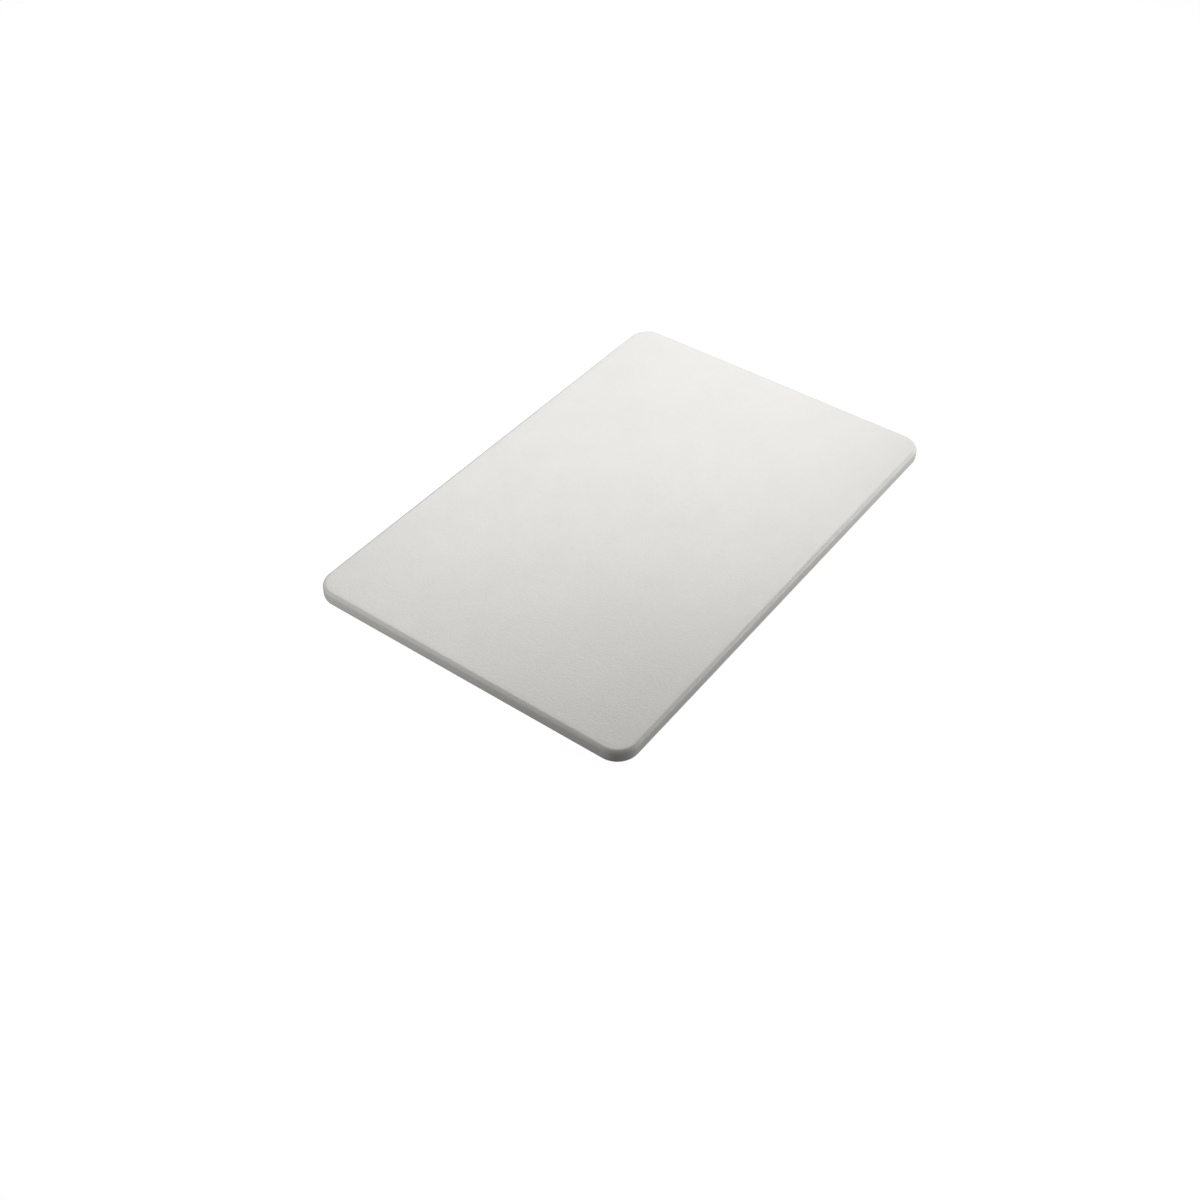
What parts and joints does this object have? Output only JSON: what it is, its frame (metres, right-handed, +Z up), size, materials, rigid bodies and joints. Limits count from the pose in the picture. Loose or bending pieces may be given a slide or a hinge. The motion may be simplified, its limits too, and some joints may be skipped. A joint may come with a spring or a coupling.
{
  "type": "cutting board",
  "caption": "Flat rectangular plastic cutting board in off-white, one moulded slab with rounded corners and rounded edges, usable on both faces.",
  "frame": {"origin": "centre of the lower face, the one the board rests on", "axes": "+X along the short sides, +Y along the long sides, +Z up through the thickness"},
  "size_m": [0.3048, 0.4572, 0.0127],
  "materials": {
    "board_plastic": "satin moulded polyethylene with a fine even grain, off-white and faintly translucent"
  },
  "bodies": {
    "root": {"board_slab": "board_plastic"}
  },
  "joints": []
}
